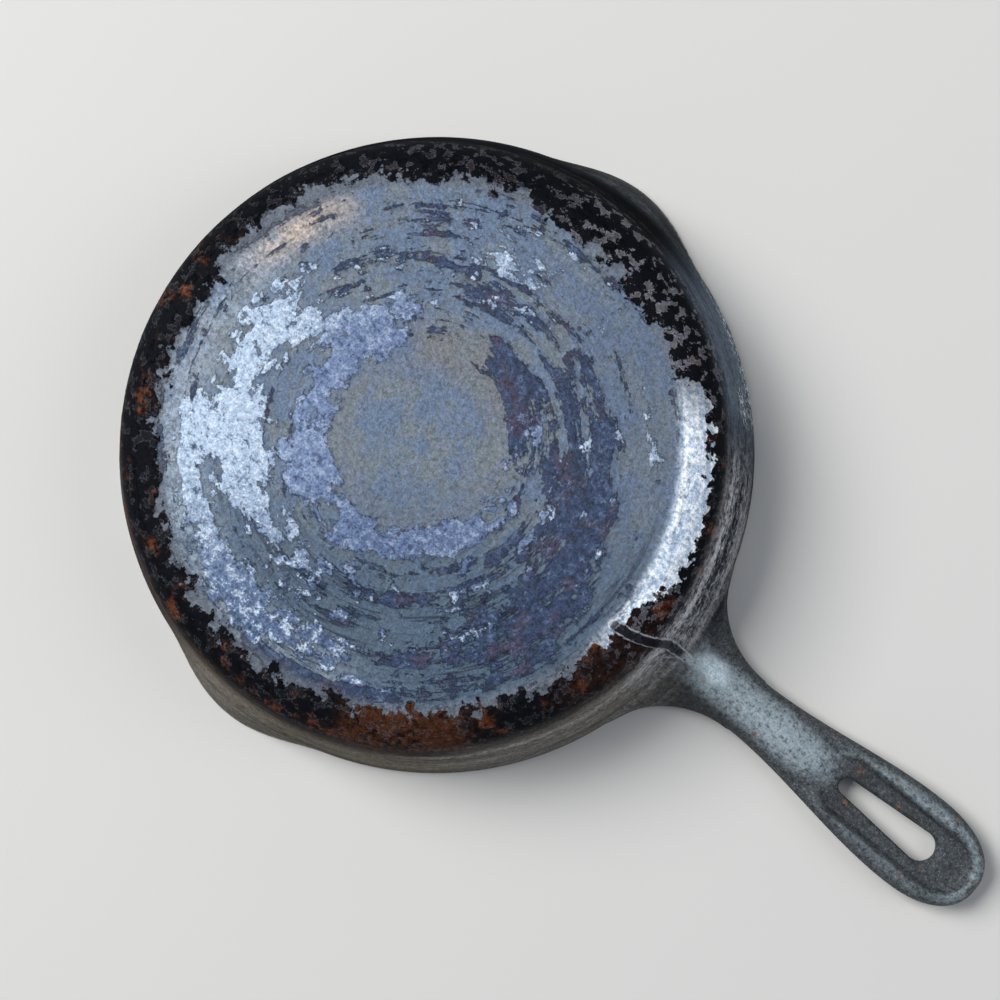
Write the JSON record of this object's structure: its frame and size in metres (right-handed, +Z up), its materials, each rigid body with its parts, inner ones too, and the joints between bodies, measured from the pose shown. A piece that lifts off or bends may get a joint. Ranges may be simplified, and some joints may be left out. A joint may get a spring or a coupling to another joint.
{
  "type": "frying pan",
  "caption": "Round cast iron skillet lying upside down, its flat underside burnt and crusted, with a pouring spout on each side and a long handle with a hanging hole.",
  "frame": {"origin": "centre of the rim circle, in the plane the rim rests on", "axes": "+Z up through the underside of the pan, which lies upside down; +X along the handle; the pouring spouts are at +Y and -Y"},
  "size_m": [0.3197, 0.2128, 0.043],
  "materials": {
    "burnt_iron": "burnt and crusted, with flaked edges, rust tints and worn bare iron"
  },
  "bodies": {
    "root": {"pan": "burnt_iron"}
  },
  "joints": []
}
